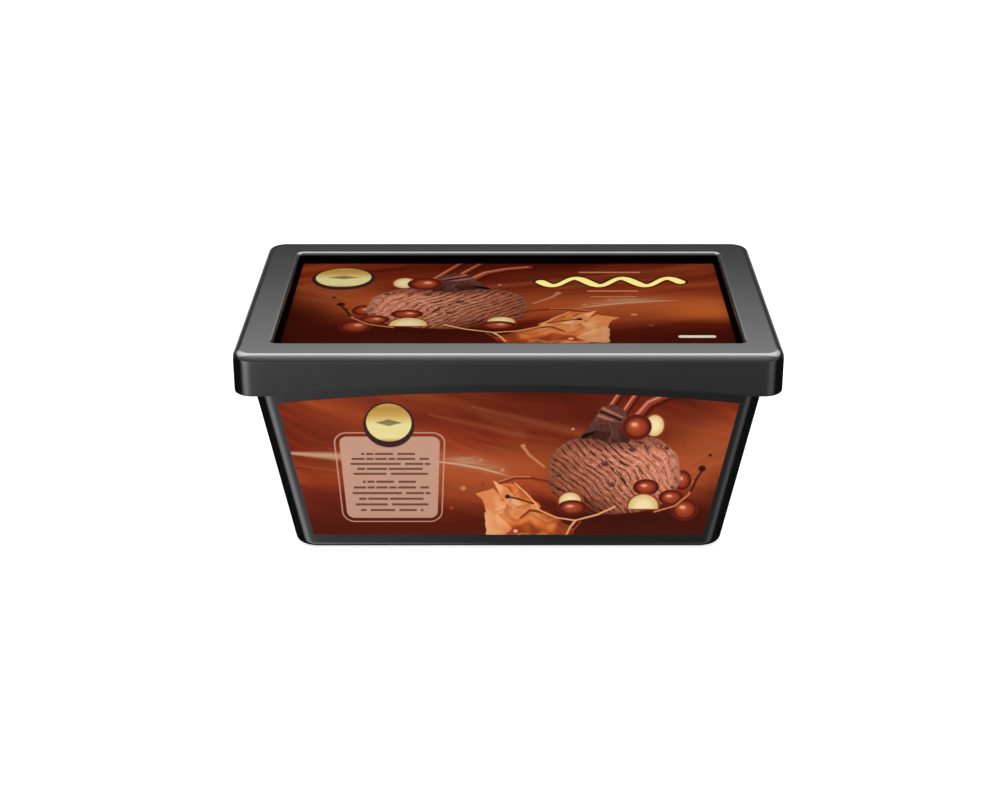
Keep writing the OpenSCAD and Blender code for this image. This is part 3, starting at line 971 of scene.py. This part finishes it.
def printedFilm(name, art, turn=0.0, flat=False):
    made, g = newMaterial(name)
    look = printLook
    x, y, z = labelCoordinates(g, turn)
    up = y if flat else z * (1 / math.cos(shell["wallSlope"]))
    colour = art(g, x, up)
    grain = g.noise(g.vector(x, up), look["grainSize"], 2.0)
    finishMaterial(g, {
        "Base Color": colour,
        "Roughness": g.scaled(grain, look["roughnessSwing"], look["roughness"] - look["roughnessSwing"] / 2),
        "Specular IOR Level": look["lidSpecular" if flat else "wallSpecular"],
    }, g.bump(grain, look))
    return made


halfTurn, quarterTurn = math.pi, math.pi / 2
baseLength, baseWidth = halfLength - baseInset, halfWidth - baseInset
longOutline = wallOutline(baseLength, labelSheet["archRise"])
shortOutline = wallOutline(baseWidth, 0.0)
labels = {
    "label_front": ("frontLabel", wallPlace(baseWidth, 0.0), longOutline, frontArt, 0.0),
    "label_back": ("backLabel", wallPlace(baseWidth, halfTurn), longOutline, frontArt, halfTurn),
    "label_right": ("rightLabel", wallPlace(baseLength, quarterTurn), shortOutline, endArt, quarterTurn),
    "label_left": ("leftLabel", wallPlace(baseLength, -quarterTurn), shortOutline, endArt, -quarterTurn),
    "label_lid": ("lidLabel", panelPlace, panelOutline, lidArt, 0.0),
}
plates = {}
for node, (name, place, outline, art, turn) in labels.items():
    film = printedFilm(name + "Print", art, turn, flat=node == "label_lid")
    plates[node] = labelPlate(name, place, outline, film)
    print(name, "has", len(film.node_tree.nodes), "nodes")


# ---- studio ----

studio = dict(
    floorSize=6.0, floorColour=(0.92, 0.92, 0.92, 1.0), floorGlow=0.65,
    floorRoughness=0.9, floorSpecular=0.1,
    pitch=math.radians(23.05), distance=0.6768, aimHeight=37.0 * mm, nearest=0.01,
    focal=1.9423,       # the lens, as a share of the sensor's width
    sensor=36.0, shift=-0.0084,
    fill=0.79,          # even light on the print and the floor
    fillTilt=0.24,      # how much stronger it comes from above
    topCard=13.0,       # the brightest light that the plastic mirrors from above
    sideCard=4.0,       # and from the sides
)


def makeFloor(look):
    mesh = bpy.data.meshes.new("studioFloor")
    half = look["floorSize"] / 2
    corners = [(-half, -half, 0), (half, -half, 0), (half, half, 0), (-half, half, 0)]
    mesh.from_pydata(corners, [], [(0, 1, 2, 3)])
    floor = newObject("studioFloor", mesh)
    made, g = newMaterial("studioFloorPaper")
    finishMaterial(g, {
        "Base Color": look["floorColour"], "Roughness": look["floorRoughness"],
        "Specular IOR Level": look["floorSpecular"],
        "Emission Color": (1.0, 1.0, 1.0, 1.0), "Emission Strength": look["floorGlow"],
    })
    mesh.materials.append(made)
    floor.visible_glossy = False  # the plastic mirrors the studio's own cards instead


def makeWorld(look):
    world = bpy.data.worlds.new("studio")
    bpy.context.scene.world = world
    world.use_nodes = True
    world.cycles.sampling_method = "NONE"  # so that mirrored light and soft light stay apart
    g = Graph(world.node_tree)
    way = g.add("ShaderNodeSeparateXYZ", None, {0: g.wire("ShaderNodeTexCoord", None, None, out="Generated")})
    x, y, z = (Wire(g, socket) for socket in way.outputs)

    def graded(value, low, high, levels):  # light levels along a value, joined by straight lines
        stops = [((place - low) / (high - low), (level, level, level, 1.0)) for place, level in levels]
        share = g.scaled(value, 1 / (high - low), -low / (high - low))
        return g.stepped(share, stops)

    rising = graded(z, -1, 1, [  # from the horizon behind the tub up to overhead
        (0.29, 0.0), (0.318, 0.012), (0.34, 0.036), (0.366, 0.094), (0.4, 0.172), (0.52, 0.35),
        (0.7, 0.72), (0.82, 0.9), (0.93, 0.78), (1.0, 0.46),
    ])
    falling = graded(z, -1, 1, [  # and down again in front of it
        (-0.05, 0.05), (0.31, 0.085), (0.62, 0.15), (0.85, 0.2), (0.98, 0.34), (1.0, 0.46),
    ])
    bearing = g.maths("ARCTAN2", x, y * -1.0) * (180 / math.pi)
    aside = g.maths("ABSOLUTE", bearing)
    sideGlow = g.both(g.ramp(aside, 173, 166), g.ramp(z, 0.37, 0.3, 0.011))  # keeps the side edges grey
    inFront = g.ramp(y, 0.15, -0.15)
    upper = (g.both(rising + sideGlow, 1.0 - inFront) + g.both(falling, inFront)) * look["topCard"]
    strips = graded(bearing, -180, 180, [  # two strip lights ahead of the corners, the left one stronger
        (-80, 0.0), (-70, 0.05), (-58, 0.45), (-46, 0.8), (-34, 0.72), (-24, 0.46), (-15, 0.29), (-7, 0.2),
        (0, 0.13), (8, 0.11), (20, 0.13), (34, 0.26), (46, 0.31), (58, 0.18), (70, 0.02), (78, 0.0),
    ])
    lowLevel = g.ramp(z, -0.42, -0.34, 0.75) + 0.82
    rearGlow = g.both(g.ramp(aside, 115, 140), g.ramp(z, -0.37, -0.3))
    steep = g.both(strips - 0.18, g.ramp(z, -0.5, -0.6, 0.45))  # the sloping walls mirror more contrast
    lower = (g.maths("MAXIMUM", g.both(strips, lowLevel) + steep, 0.0) + rearGlow * 0.15) * look["sideCard"]
    isLow = g.ramp(z, 0.08, -0.08)
    mirrored = g.both(lower, isLow) + g.both(upper, 1.0 - isLow)
    rays = g.add("ShaderNodeLightPath")
    seen = Wire(g, rays.outputs["Is Camera Ray"])
    glossy = Wire(g, rays.outputs["Is Glossy Ray"])
    soft = g.scaled(z, look["fillTilt"], look["fill"])
    level = g.both(1.0 - glossy, soft) + g.both(glossy, mirrored)
    level = level + g.both(seen, 1.0 - level)
    shade = g.add("ShaderNodeBackground", None, {"Color": (1.0, 1.0, 1.0, 1.0), "Strength": level})
    end = g.add("ShaderNodeOutputWorld")
    g.tree.links.new(shade.outputs[0], end.inputs["Surface"])


def makeCamera(look):
    data = bpy.data.cameras.new("camera")
    data.sensor_width = look["sensor"]
    data.lens = look["focal"] * look["sensor"]
    data.shift_x = look["shift"]
    data.clip_start = look["nearest"]
    camera = newObject("camera", data)
    pitch = look["pitch"]
    back = Vector((0.0, -math.cos(pitch), math.sin(pitch)))
    camera.location = Vector((0.0, 0.0, look["aimHeight"])) + back * look["distance"]
    camera.rotation_euler = (math.pi / 2 - pitch, 0.0, 0.0)
    bpy.context.scene.camera = camera


bpy.context.scene.view_settings.view_transform = "Standard"
makeFloor(studio)
makeWorld(studio)
makeCamera(studio)
print("studio is set")


# ---- what rides on what ----

for piece, node, finish in ((tub, "tub", "black_plastic"), (lid, "lid", "black_plastic")):
    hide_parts(node)
    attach(piece, "root")
for node, plate in plates.items():
    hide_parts(node)
    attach(plate, "root")

bpy.context.view_layer.update()
